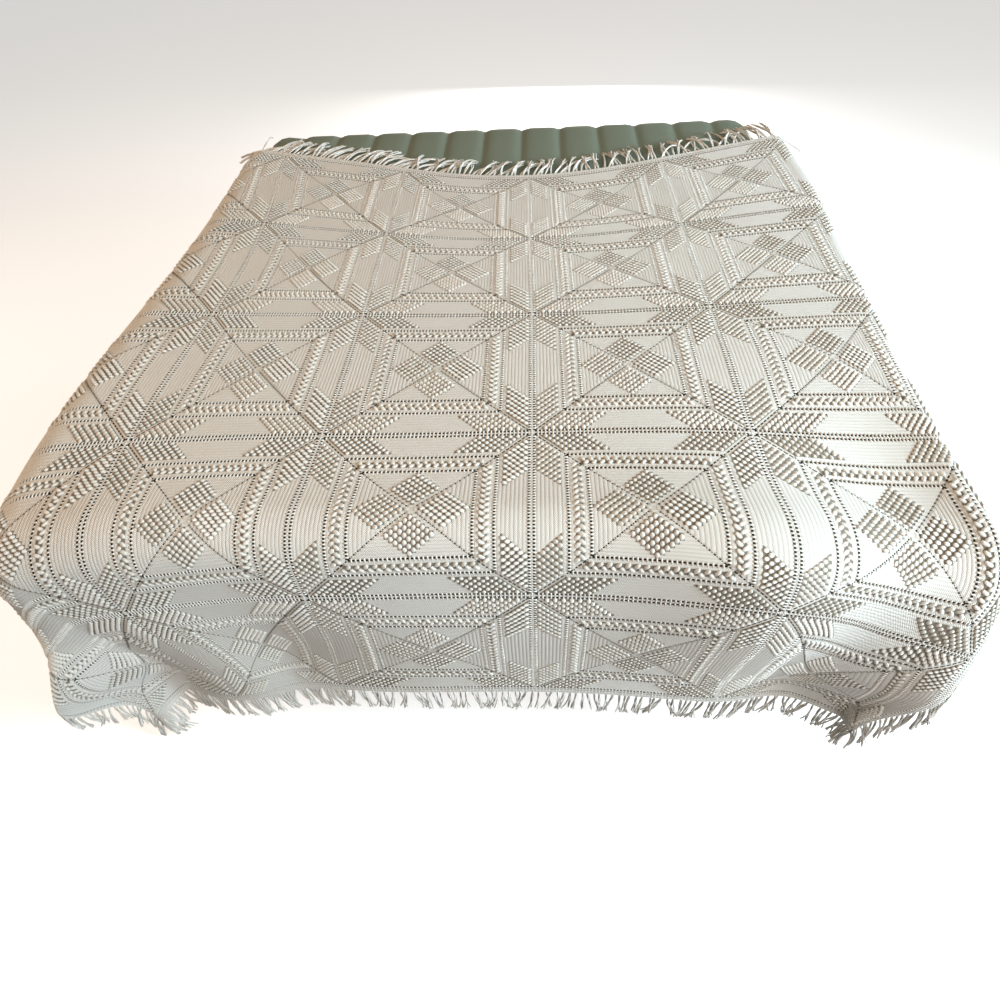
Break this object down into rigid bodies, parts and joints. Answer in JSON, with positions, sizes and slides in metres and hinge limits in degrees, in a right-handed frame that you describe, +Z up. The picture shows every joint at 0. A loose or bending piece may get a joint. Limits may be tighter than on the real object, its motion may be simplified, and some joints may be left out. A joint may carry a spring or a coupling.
{
  "type": "crochet blanket on a bed",
  "caption": "Square popcorn-stitch crochet blanket with a knotted fringe, draped over the foot and sides of a low mattress on a plain set-back base.",
  "frame": {"origin": "on the floor, under the middle of the part's box", "axes": "+Z up, -Y towards the foot of the bed, where the blanket hangs furthest down, +X to the right seen from the foot"},
  "size_m": [1.774, 1.6382, 0.8197],
  "materials": {
    "crochet_cotton": "matt mercerised cotton yarn, crocheted",
    "fringe_cotton": "loose cotton yarn",
    "quilted_cover": "matt quilted cotton cover",
    "base_board": "plain pale board"
  },
  "bodies": {
    "root": {"blanket": "crochet_cotton", "fringe_front": "fringe_cotton", "fringe_back": "fringe_cotton", "fringe_left": "fringe_cotton", "fringe_right": "fringe_cotton", "mattress": "quilted_cover", "bed_deck": "base_board", "bed_plinth": "base_board"}
  },
  "joints": []
}
